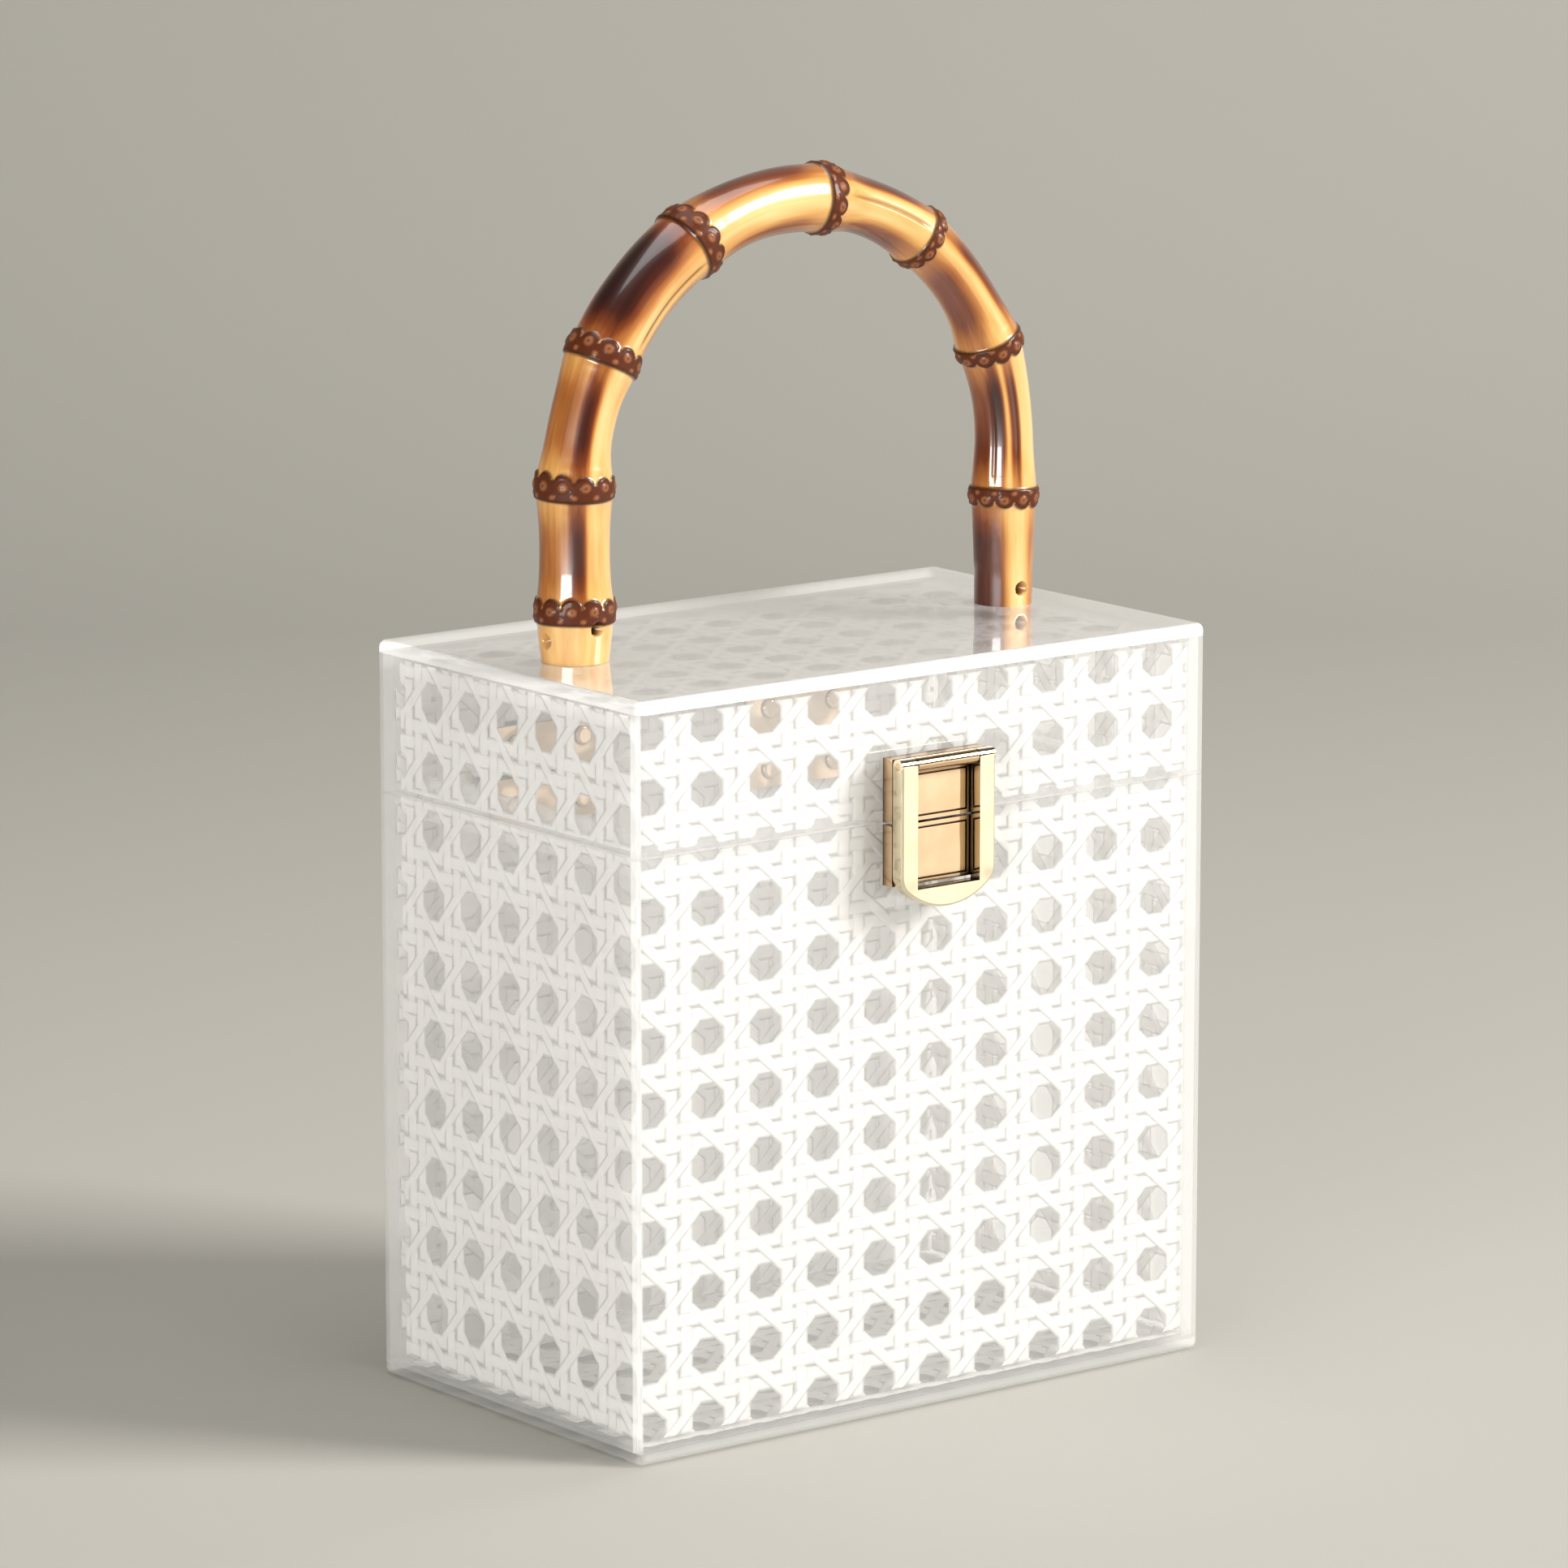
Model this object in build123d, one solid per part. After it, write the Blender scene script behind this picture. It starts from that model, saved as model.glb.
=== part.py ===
from build123d import *
from math import cos, pi, sin
import os

# A rigid box bag of clear acrylic sheet, lined with white open-weave cane webbing.
# The lid is hinged at the back, a gold clasp closes the front, and a bent bamboo
# handle stands on the lid. Millimetres: +X right, +Y back, +Z up, and the origin is
# at the centre of the underside.

# The box
bag_width = 170.0
bag_depth = 104.0
body_height = 143.2
lid_height = 36.5
parting_gap = 0.3
sheet = 3.0
corner_round = 2.0
edge_round = 1.8

# The cane lining
cane = 1.5
cane_gap = 0.3
cane_inset = 0.5

# The lip inside the rim
lip_thickness = 2.0
lip_drop = 5.5
lip_rise = 5.0
lip_clearance = 0.3
lip_back_end = 12.0

# The two hinges
hinge_spacing = 77.0
hinge_width = 34.0
leaf_thickness = 1.2
leaf_reach = 12.2
barrel_radius = 2.5
barrel_clearance = 0.3
knuckle_count = 5
knuckle_gap = 0.3
hinge_pin_radius = 1.0
pin_clearance = 0.05
pin_head_radius = 1.6
pin_head_height = 0.8
backing_edge = 0.6

# The rivets of the hinges
rivet_radius = 1.25
rivet_spacing = 20.0
rivet_height = 7.6
rivet_head_radius = 2.4
rivet_head_height = 1.0
rivet_head_round = 0.8

# The clasp
clasp_width = 28.0
clasp_block = 3.5
clasp_frame_thickness = 3.5
clasp_clearance = 0.3
clasp_prong = 4.7
clasp_pin_above_parting = 14.2
clasp_block_above_pin = 1.4
clasp_bar_below_parting = 20.3
clasp_window_below_parting = 15.3
clasp_block_below_parting = 14.7
clasp_corner_drop = 6.2
clasp_corner_round = 5.0
clasp_edge_round = 0.6
clasp_pin_radius = 0.8
groove_width = 0.5
groove_depth = 0.5
groove_margin = 0.9

# The screws of the clasp
small_screw_radius = 1.0
small_head_radius = 1.9
small_head_height = 1.2
small_head_round = 0.6
small_slot_width = 0.45
small_slot_reach = 1.14
small_slot_depth = 0.4
small_screw_spacing = 16.0
small_screw_depth = 2.5
catch_screw_below_parting = 10.0
lid_screw_above_parting = 9.8

# The handle
handle_arch_radius = 64.5
handle_leg = 39.0
foot_radius = 8.0
handle_nodes = (12.0, 41.0, 72.1, 108.0, 147.7, 180.3, 216.2, 253.7)
node_radii = (9.7, 9.6, 9.3, 9.3, 8.8, 8.0, 8.5, 8.6)
waist_radii = (8.2, 7.7, 8.3, 7.8, 6.8, 6.7, 7.0)
last_foot_radius = 7.1
waist_shape = ((0.3, 0.35), (0.5, 0.0), (0.7, 0.35))  # share of the gap, share of the rise to the rings
node_length = 6.0
node_shoulder = 1.2
node_step = 0.8
cross_hole_radius = 1.6
left_hole_height = 5.6
left_front_hole_height = 8.7
right_front_hole_height = 4.2

# The screws of the handle
big_screw_radius = 1.7
big_head_radius = 3.4
big_head_height = 2.0
big_head_round = 1.0
big_screw_depth = 15.0
big_screw_point = 1.19
pilot_spare = 1.0
washer_radius = 5.0
washer_thickness = 1.0
recess_width = 0.9
recess_reach = 1.87
recess_depth = 0.9
hole_clearance = 0.1

# How far a cut runs past what it cuts
spare = 1.0

# Worked out from the sizes above
half_width = bag_width / 2
half_depth = bag_depth / 2
lid_bottom = body_height + parting_gap
total_height = lid_bottom + lid_height
parting = body_height + parting_gap / 2
inner_width = half_width - sheet
inner_depth = half_depth - sheet
lined_width = inner_width - cane
lined_depth = inner_depth - cane
lined_floor = sheet + cane
lined_ceiling = total_height - sheet - cane
hinge_y = half_depth + barrel_clearance + barrel_radius
hinge_centres = {"left": -hinge_spacing / 2, "right": hinge_spacing / 2}
clasp_block_face = -half_depth - clasp_block
clasp_frame_back = clasp_block_face - clasp_clearance
clasp_pin_y = clasp_frame_back - clasp_frame_thickness / 2
clasp_pin_z = parting + clasp_pin_above_parting
clasp_top_radius = clasp_frame_thickness / 2
clasp_opening = clasp_width / 2 - clasp_prong
handle_length = 2 * handle_leg + pi * handle_arch_radius
catch_screw_z = parting - catch_screw_below_parting
lid_screw_z = parting + lid_screw_above_parting


def block(x, y, z):
    """A box between pairs of low and high coordinates."""
    centre = Pos((x[0] + x[1]) / 2, (y[0] + y[1]) / 2, (z[0] + z[1]) / 2)
    return centre * Box(x[1] - x[0], y[1] - y[0], z[1] - z[0])


def rod(start, end, radius):
    """A round bar between two points."""
    run = Vector(*end) - Vector(*start)
    return Solid.make_cylinder(radius, run.length, Plane(origin=start, z_dir=run))


def without(shape, holes):
    """A shape with each hole cut out of it."""
    for hole in holes:
        shape = shape - hole
    return shape


# Where the fasteners go through the walls

def clasp_holes(height, radius, reach):
    """Round holes for the clasp's two screws, from inside the lining to a reach in front."""
    xs = (-small_screw_spacing / 2, small_screw_spacing / 2)
    return [rod((x, -lined_depth + spare, height), (x, -reach, height), radius) for x in xs]


def rivet_places(side):
    """The rivets' x and z: side is -1 for the body and +1 for the lid."""
    height = parting + side * rivet_height
    xs = (-rivet_spacing / 2, rivet_spacing / 2)
    return [(centre + x, height) for centre in hinge_centres.values() for x in xs]


def rivet_holes(side):
    radius = rivet_radius + hole_clearance
    inside = lined_depth - leaf_thickness - spare
    outside = half_depth + leaf_thickness + spare
    return [rod((x, inside, z), (x, outside, z), radius) for x, z in rivet_places(side)]


def handle_feet():
    return (-handle_arch_radius, handle_arch_radius)


def handle_holes():
    radius = big_screw_radius + hole_clearance
    return [rod((x, 0, lined_ceiling - spare), (x, 0, total_height + spare), radius) for x in handle_feet()]


# Panels

def cover_panel(low, high, outer):
    """The bottom or the top sheet, with its outer edges polished round."""
    panel = block((-half_width, half_width), (-half_depth, half_depth), (low, high))
    panel = fillet(panel.edges().filter_by(Axis.Z), corner_round)
    return fillet(panel.faces().sort_by(Axis.Z)[outer].edges(), edge_round)


def long_panel(side, low, high):
    """A front (-1) or back (+1) sheet, the full width of the bag."""
    y = sorted((side * inner_depth, side * half_depth))
    panel = block((-half_width, half_width), y, (low, high))
    middle = (inner_depth + half_depth) / 2
    outer = [edge for edge in panel.edges().filter_by(Axis.Z) if edge.center().Y * side > middle]
    return fillet(outer, corner_round)


def end_panel(side, low, high):
    """A left (-1) or right (+1) sheet, between the front and the back."""
    x = sorted((side * inner_width, side * half_width))
    return block(x, (-inner_depth, inner_depth), (low, high))


def long_cane(side, low, high):
    y = sorted((side * lined_depth, side * inner_depth))
    return block((-inner_width, inner_width), y, (low, high))


def end_cane(side, low, high):
    x = sorted((side * lined_width, side * inner_width))
    reach = lined_depth - cane_gap
    return block(x, (-reach, reach), (low, high))


def flat_cane(low, high):
    x = inner_width - cane_gap
    y = inner_depth - cane_gap
    return block((-x, x), (-y, y), (low, high))


def body_walls():
    low, high = sheet, body_height
    clasp = clasp_holes(catch_screw_z, small_screw_radius + hole_clearance, half_depth + spare)
    return {
        "bottom_panel": cover_panel(0, sheet, 0),
        "body_front_panel": without(long_panel(-1, low, high), clasp),
        "body_back_panel": without(long_panel(1, low, high), rivet_holes(-1)),
        "body_left_panel": end_panel(-1, low, high),
        "body_right_panel": end_panel(1, low, high),
    }


def body_lining():
    low, high = lined_floor + cane_gap, body_height - cane_inset
    clasp = clasp_holes(catch_screw_z, small_screw_radius + hole_clearance, half_depth + spare)
    return {
        "bottom_cane": flat_cane(sheet, lined_floor),
        "body_front_cane": without(long_cane(-1, low, high), clasp),
        "body_back_cane": without(long_cane(1, low, high), rivet_holes(-1)),
        "body_left_cane": end_cane(-1, low, high),
        "body_right_cane": end_cane(1, low, high),
    }


def lid_walls():
    low, high = lid_bottom, total_height - sheet
    clasp = clasp_holes(lid_screw_z, small_screw_radius + hole_clearance, half_depth + spare)
    top = cover_panel(high, total_height, -1)
    return {
        "lid_top_panel": without(top, handle_holes()),
        "lid_front_panel": without(long_panel(-1, low, high), clasp),
        "lid_back_panel": without(long_panel(1, low, high), rivet_holes(1)),
        "lid_left_panel": end_panel(-1, low, high),
        "lid_right_panel": end_panel(1, low, high),
    }


def lid_lining():
    low, high = lid_bottom + cane_inset, lined_ceiling - cane_gap
    clasp = clasp_holes(lid_screw_z, small_screw_radius + hole_clearance, half_depth + spare)
    top = flat_cane(lined_ceiling, total_height - sheet)
    return {
        "lid_top_cane": without(top, handle_holes()),
        "lid_front_cane": without(long_cane(-1, low, high), clasp),
        "lid_back_cane": without(long_cane(1, low, high), rivet_holes(1)),
        "lid_left_cane": end_cane(-1, low, high),
        "lid_right_cane": end_cane(1, low, high),
    }


def rim_lips():
    """Clear strips that stand clear of the linings of the body and of the lid."""
    z = (body_height - lip_drop, body_height + lip_rise)
    outer_y = -lined_depth + lip_clearance
    inner_y = outer_y + lip_thickness
    outer_x = lined_width - lip_clearance
    inner_x = outer_x - lip_thickness
    back = half_depth - lip_back_end
    return {
        "rim_lip_front": block((-outer_x, outer_x), (outer_y, inner_y), z),
        "rim_lip_left": block((-outer_x, -inner_x), (inner_y, back), z),
        "rim_lip_right": block((inner_x, outer_x), (inner_y, back), z),
    }


# Hinges

def knuckle_spans(centre):
    """The x range of each knuckle, from left to right."""
    length = (hinge_width - (knuckle_count - 1) * knuckle_gap) / knuckle_count
    starts = [centre - hinge_width / 2 + i * (length + knuckle_gap) for i in range(knuckle_count)]
    return [(start, start + length) for start in starts]


def hinge_leaf(centre, side):
    """A leaf on the back wall: side is -1 for the body's leaf and +1 for the lid's."""
    x = (centre - hinge_width / 2, centre + hinge_width / 2)
    y = (half_depth, half_depth + leaf_thickness)
    near = parting + side * (barrel_radius + barrel_clearance)
    far = parting + side * leaf_reach
    leaf = block(x, y, sorted((near, far)))
    first = 0 if side < 0 else 1
    for span in knuckle_spans(centre)[first::2]:
        tongue = block(span, y, sorted((parting + side * barrel_clearance, near)))
        barrel = rod((span[0], hinge_y, parting), (span[1], hinge_y, parting), barrel_radius)
        leaf = leaf + tongue + barrel
    radius = hinge_pin_radius + pin_clearance
    bore = rod((x[0] - spare, hinge_y, parting), (x[1] + spare, hinge_y, parting), radius)
    return without(leaf - bore, rivet_holes(side))


def hinge_pin(centre):
    """The pin through all the knuckles, with a head peened on each end."""
    ends = (centre - hinge_width / 2, centre + hinge_width / 2)
    pin = rod((ends[0], hinge_y, parting), (ends[1], hinge_y, parting), hinge_pin_radius)
    for end, side in zip(ends, (-1, 1)):
        head_end = end + side * pin_head_height
        pin = pin + rod((end, hinge_y, parting), (head_end, hinge_y, parting), pin_head_radius)
    return pin


def backing_plate(centre, side):
    """The plate behind the lining that the rivets of one leaf pull against."""
    x = (centre - hinge_width / 2, centre + hinge_width / 2)
    y = (lined_depth - leaf_thickness, lined_depth)
    z = sorted((parting + side * backing_edge, parting + side * leaf_reach))
    return without(block(x, y, z), rivet_holes(side))


def rivet(x, z):
    inside = lined_depth - leaf_thickness
    outside = half_depth + leaf_thickness
    shank = rod((x, inside, z), (x, outside, z), rivet_radius)
    outer = rod((x, outside, z), (x, outside + rivet_head_height, z), rivet_head_radius)
    outer = fillet(outer.edges().sort_by(Axis.Y)[-1], rivet_head_round)
    inner = rod((x, inside - rivet_head_height, z), (x, inside, z), rivet_head_radius)
    inner = fillet(inner.edges().sort_by(Axis.Y)[0], rivet_head_round)
    return shank + outer + inner


def hinge_parts():
    parts = {}
    for name, centre in hinge_centres.items():
        parts[name + "_hinge_body_leaf"] = hinge_leaf(centre, -1)
        parts[name + "_hinge_lid_leaf"] = hinge_leaf(centre, 1)
        parts[name + "_hinge_pin"] = hinge_pin(centre)
        parts[name + "_hinge_body_backing_plate"] = backing_plate(centre, -1)
        parts[name + "_hinge_lid_backing_plate"] = backing_plate(centre, 1)
    parts["hinge_body_rivets"] = Compound([rivet(x, z) for x, z in rivet_places(-1)])
    parts["hinge_lid_rivets"] = Compound([rivet(x, z) for x, z in rivet_places(1)])
    return parts


# Clasp

def pad_groove(low, high):
    """A shallow groove that outlines the pad seen through the clasp's window."""
    half = clasp_opening - groove_margin
    y = (clasp_block_face, clasp_block_face + groove_depth)
    outer = block((-half, half), y, (low, high))
    inner = half - groove_width
    return outer - block((-inner, inner), y, (low + groove_width, high - groove_width))


def clasp_catch_block():
    z = (parting - clasp_block_below_parting, parting - clasp_clearance)
    catch = block((-clasp_width / 2, clasp_width / 2), (clasp_block_face, -half_depth), z)
    catch = catch - pad_groove(z[0] + groove_margin, z[1] - groove_margin)
    radius = small_screw_radius + hole_clearance
    reach = half_depth + small_screw_depth + hole_clearance
    return without(catch, clasp_holes(catch_screw_z, radius, reach))


def clasp_lid_block():
    """The lid's half of the clasp, with the knuckle that the frame's pin goes through."""
    z = (parting + clasp_clearance, clasp_pin_z + clasp_block_above_pin)
    half = clasp_opening - clasp_clearance
    lid_half = block((-clasp_width / 2, clasp_width / 2), (clasp_block_face, -half_depth), z)
    web_z = (clasp_pin_z - clasp_top_radius, clasp_pin_z)
    web = block((-half, half), (clasp_pin_y, clasp_block_face), web_z)
    knuckle = rod((-half, clasp_pin_y, clasp_pin_z), (half, clasp_pin_y, clasp_pin_z), clasp_top_radius)
    pad_top = web_z[0] - groove_margin
    lid_half = lid_half + web + knuckle - pad_groove(z[0] + groove_margin, pad_top)
    radius = clasp_pin_radius + pin_clearance
    bore = rod((-half - spare, clasp_pin_y, clasp_pin_z), (half + spare, clasp_pin_y, clasp_pin_z), radius)
    screw = small_screw_radius + hole_clearance
    reach = half_depth + small_screw_depth + hole_clearance
    return without(lid_half - bore, clasp_holes(lid_screw_z, screw, reach))


def clasp_outline():
    """The frame's face: straight sides and a bottom edge that is one shallow arc."""
    half = clasp_width / 2
    bottom = parting - clasp_bar_below_parting
    corner = bottom + clasp_corner_drop
    sides = Polyline((-half, corner), (-half, clasp_pin_z), (half, clasp_pin_z), (half, corner))
    arc = ThreePointArc((half, corner), (0, bottom), (-half, corner))
    face = make_face(sides + arc)
    lower = face.vertices().sort_by(Axis.Y)[:2]
    return fillet(lower, clasp_corner_round)


def clasp_frame():
    plane = Plane(origin=(0, clasp_frame_back, 0), x_dir=(1, 0, 0), z_dir=(0, -1, 0))
    frame = extrude(plane * clasp_outline(), clasp_frame_thickness)
    front = frame.faces().sort_by(Axis.Y)[0]
    below_pin = clasp_pin_z - clasp_edge_round
    frame = fillet([edge for edge in front.edges() if edge.center().Z < below_pin], clasp_edge_round)
    half = clasp_width / 2
    top = rod((-half, clasp_pin_y, clasp_pin_z), (half, clasp_pin_y, clasp_pin_z), clasp_top_radius)
    frame = frame + top
    y = (clasp_frame_back - clasp_frame_thickness - spare, clasp_frame_back + spare)
    z = (parting - clasp_window_below_parting, clasp_pin_z + clasp_top_radius + spare)
    frame = frame - block((-clasp_opening, clasp_opening), y, z)
    radius = clasp_pin_radius + pin_clearance
    half = half + spare
    return frame - rod((-half, clasp_pin_y, clasp_pin_z), (half, clasp_pin_y, clasp_pin_z), radius)


def clasp_screw(x, z):
    """A pan-head screw from inside the box into the back of a clasp block."""
    head_start = -lined_depth + small_head_height
    head = rod((x, head_start, z), (x, -lined_depth, z), small_head_radius)
    head = fillet(head.edges().sort_by(Axis.Y)[-1], small_head_round)
    shank = rod((x, -lined_depth, z), (x, -half_depth - small_screw_depth, z), small_screw_radius)
    slot_x = (x - small_slot_reach, x + small_slot_reach)
    slot_y = (head_start - small_slot_depth, head_start + spare)
    slot = block(slot_x, slot_y, (z - small_slot_width / 2, z + small_slot_width / 2))
    return head + shank - slot


def clasp_parts():
    xs = (-small_screw_spacing / 2, small_screw_spacing / 2)
    left_end = (-clasp_width / 2, clasp_pin_y, clasp_pin_z)
    right_end = (clasp_width / 2, clasp_pin_y, clasp_pin_z)
    return {
        "clasp_catch_block": clasp_catch_block(),
        "clasp_lid_block": clasp_lid_block(),
        "clasp_frame": clasp_frame(),
        "clasp_pin": rod(left_end, right_end, clasp_pin_radius),
        "clasp_catch_screws": Compound([clasp_screw(x, catch_screw_z) for x in xs]),
        "clasp_lid_screws": Compound([clasp_screw(x, lid_screw_z) for x in xs]),
    }


# Handle

def handle_plane(length):
    """The plane across the handle at a length along it, from the left foot."""
    if length <= handle_leg:
        foot = (-handle_arch_radius, 0, total_height + length)
        return Plane(origin=foot, x_dir=(0, 1, 0), z_dir=(0, 0, 1))
    if length >= handle_length - handle_leg:
        foot = (handle_arch_radius, 0, total_height + handle_length - length)
        return Plane(origin=foot, x_dir=(0, 1, 0), z_dir=(0, 0, -1))
    turn = (length - handle_leg) / handle_arch_radius
    x = -handle_arch_radius * cos(turn)
    z = total_height + handle_leg + handle_arch_radius * sin(turn)
    return Plane(origin=(x, 0, z), x_dir=(0, 1, 0), z_dir=(sin(turn), 0, cos(turn)))


def handle_sections():
    """Lengths along the handle and the bamboo's radius there: a ring at each node, a waist between."""
    sections = [(0.0, foot_radius)]
    waists = list(waist_radii) + [last_foot_radius]
    for i, node in enumerate(handle_nodes):
        ring, half = node_radii[i], node_length / 2
        before = sections[-1][1] if i == 0 else ring - node_step
        sections.append((node - half - node_shoulder, min(before, ring - node_step)))
        sections.append((node - half, ring))
        sections.append((node + half, ring))
        sections.append((node + half + node_shoulder, ring - node_step))
        if i + 1 < len(handle_nodes):
            gap = handle_nodes[i + 1] - node
            for share, weight in waist_shape:
                end = (ring if share < 0.5 else node_radii[i + 1]) - node_step
                sections.append((node + gap * share, waists[i] + (end - waists[i]) * weight))
    sections.append((handle_length, last_foot_radius))
    return sections


def bamboo_handle():
    circles = []
    for length, radius in handle_sections():
        circles.append(handle_plane(length) * Circle(radius))
    handle = loft(circles, ruled=True)
    left, right = handle_feet()
    for x in handle_feet():
        top = (x, 0, total_height + big_screw_depth + pilot_spare)
        pilot = rod((x, 0, total_height - spare), top, big_screw_radius + pin_clearance)
        handle = handle - pilot
    outside = 2 * foot_radius
    z = total_height + left_hole_height
    handle = handle - rod((left - outside, 0, z), (left, 0, z), cross_hole_radius)
    z = total_height + left_front_hole_height
    handle = handle - rod((left, -outside, z), (left, 0, z), cross_hole_radius)
    z = total_height + right_front_hole_height
    return handle - rod((right, -outside, z), (right, 0, z), cross_hole_radius)


def handle_screw(x):
    """A pan-head wood screw up through the lid into a foot of the handle."""
    seat = lined_ceiling - washer_thickness
    bottom = seat - big_head_height
    head = rod((x, 0, bottom), (x, 0, seat), big_head_radius)
    head = fillet(head.edges().sort_by(Axis.Z)[0], big_head_round)
    shank = rod((x, 0, seat), (x, 0, total_height + big_screw_depth), big_screw_radius)
    shank = chamfer(shank.edges().sort_by(Axis.Z)[-1], big_screw_point)
    wide = recess_width / 2
    z = (bottom - spare, bottom + recess_depth)
    bar = block((x - recess_reach, x + recess_reach), (-wide, wide), z)
    cross_bar = block((x - wide, x + wide), (-recess_reach, recess_reach), z)
    return head + shank - bar - cross_bar


def handle_washer(x):
    seat = lined_ceiling - washer_thickness
    washer = rod((x, 0, seat), (x, 0, lined_ceiling), washer_radius)
    radius = big_screw_radius + hole_clearance
    return washer - rod((x, 0, seat - spare), (x, 0, lined_ceiling + spare), radius)


def handle_parts():
    return {
        "bamboo_handle": bamboo_handle(),
        "handle_screws": Compound([handle_screw(x) for x in handle_feet()]),
        "handle_washers": Compound([handle_washer(x) for x in handle_feet()]),
    }


os.makedirs("parts", exist_ok=True)
groups = [body_walls(), body_lining(), lid_walls(), lid_lining(), rim_lips(), hinge_parts()]
for group in groups + [clasp_parts(), handle_parts()]:
    for node, shape in group.items():
        export_step(shape, f"parts/{node}.step")
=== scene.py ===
import math

import bmesh
import bpy
import numpy as np
from mathutils import Matrix, Vector


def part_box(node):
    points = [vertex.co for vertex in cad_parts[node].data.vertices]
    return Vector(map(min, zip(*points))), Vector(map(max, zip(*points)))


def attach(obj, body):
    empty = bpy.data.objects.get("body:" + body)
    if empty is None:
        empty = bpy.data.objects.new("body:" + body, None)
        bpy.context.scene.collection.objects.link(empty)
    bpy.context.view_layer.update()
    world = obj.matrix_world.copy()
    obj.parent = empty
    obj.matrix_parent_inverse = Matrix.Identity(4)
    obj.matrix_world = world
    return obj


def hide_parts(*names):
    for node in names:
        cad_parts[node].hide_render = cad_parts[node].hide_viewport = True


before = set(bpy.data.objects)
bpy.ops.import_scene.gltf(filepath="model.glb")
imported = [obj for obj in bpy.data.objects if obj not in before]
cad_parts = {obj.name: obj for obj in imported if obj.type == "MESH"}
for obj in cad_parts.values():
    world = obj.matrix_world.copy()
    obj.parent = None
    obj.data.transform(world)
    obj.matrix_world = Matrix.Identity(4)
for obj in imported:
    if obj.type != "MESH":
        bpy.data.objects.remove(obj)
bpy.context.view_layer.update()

MM = 0.001
X, Y, Z = Vector((1, 0, 0)), Vector((0, 1, 0)), Vector((0, 0, 1))

# The webbing: strands woven six ways, with an eight-sided hole in each repeat.
WARP_REPEAT, WEFT_REPEAT = 16.9 * MM, 15.22 * MM
WARP_WIDTH, WEFT_WIDTH, DIAGONAL_WIDTH = 3.9 * MM, 3.65 * MM, 2.85 * MM
STRAND_THICKNESS = 0.26 * MM
PAIR_OFFSET = 0.125          # each strand of a pair from the middle of its pair, as a share of the repeat
PAIR_WAVE = 0.1 * MM
DIAGONAL_WAVE = 0.16 * MM

# The bamboo handle, along its length from the foot on the clasp's left.
ARCH_RADIUS, LEG = 64.5 * MM, 39 * MM
KNOTS = (12, 41, 72.1, 108, 147.7, 180.3, 216.2, 253.7)
KNOT_RADII = (9.7, 9.6, 9.3, 9.3, 8.8, 8.0, 8.5, 8.6)
WAIST_RADII = (8.0, 8.2, 7.7, 8.3, 7.8, 6.8, 6.7, 7.0, 7.1)


def colour(hex_code):
    """An sRGB hex colour as the linear numbers that a shader takes."""
    parts = [int(hex_code[i:i + 2], 16) / 255 for i in (1, 3, 5)]
    return tuple(p / 12.92 if p <= 0.04045 else ((p + 0.055) / 1.055) ** 2.4 for p in parts) + (1.0,)


def add(tree, kind, inputs=None, **settings):
    """Adds a node. Each input takes a value, a socket, or a node, whose first output it takes."""
    node = tree.nodes.new(kind)
    for name, value in settings.items():
        setattr(node, name, value)
    for name, value in (inputs or {}).items():
        if isinstance(value, bpy.types.Node):
            value = value.outputs[0]
        if isinstance(value, bpy.types.NodeSocket):
            tree.links.new(value, node.inputs[name])
        else:
            node.inputs[name].default_value = value
    return node


def new_material(name):
    material = bpy.data.materials.new(name)
    material.use_nodes = True
    material.node_tree.nodes.clear()
    return material, material.node_tree


def white_cane():
    """Woven cane under white lacquer: an even soft white, faintly streaked along its fibres, that lets
    enough light through to keep the inside of the bag bright."""
    material, tree = new_material("white lacquered cane")
    place = add(tree, "ShaderNodeTexCoord").outputs["Object"]
    run = add(tree, "ShaderNodeAttribute", attribute_name="strand run").outputs["Vector"]
    # Fibre streaks about 0.8 mm wide and 25 mm long.
    stretched = add(tree, "ShaderNodeVectorMath", {0: run, 1: (1250, 40, 40)}, operation="MULTIPLY")
    fibres = add(tree, "ShaderNodeTexNoise", {"Vector": stretched, "Scale": 1.0, "Detail": 2.0})
    lots = add(tree, "ShaderNodeTexNoise", {"Vector": place, "Scale": 45.0, "Detail": 1.0})
    tint = add(tree, "ShaderNodeMix", {"Factor": lots, 6: colour("#F4F3F1"), 7: colour("#FDFDFC")},
               data_type="RGBA")
    bump = add(tree, "ShaderNodeBump", {"Height": fibres, "Strength": 0.35, "Distance": 0.0001})
    shader = add(tree, "ShaderNodeBsdfPrincipled",
                 {"Base Color": tint.outputs[2], "Roughness": 0.45, "Specular IOR Level": 0.4,
                  "Normal": bump})
    glow = add(tree, "ShaderNodeBsdfTranslucent", {"Color": colour("#FFFEFC")})
    both = add(tree, "ShaderNodeMixShader", {0: 0.5, 1: shader, 2: glow})
    add(tree, "ShaderNodeOutputMaterial", {"Surface": both})
    return material


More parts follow.
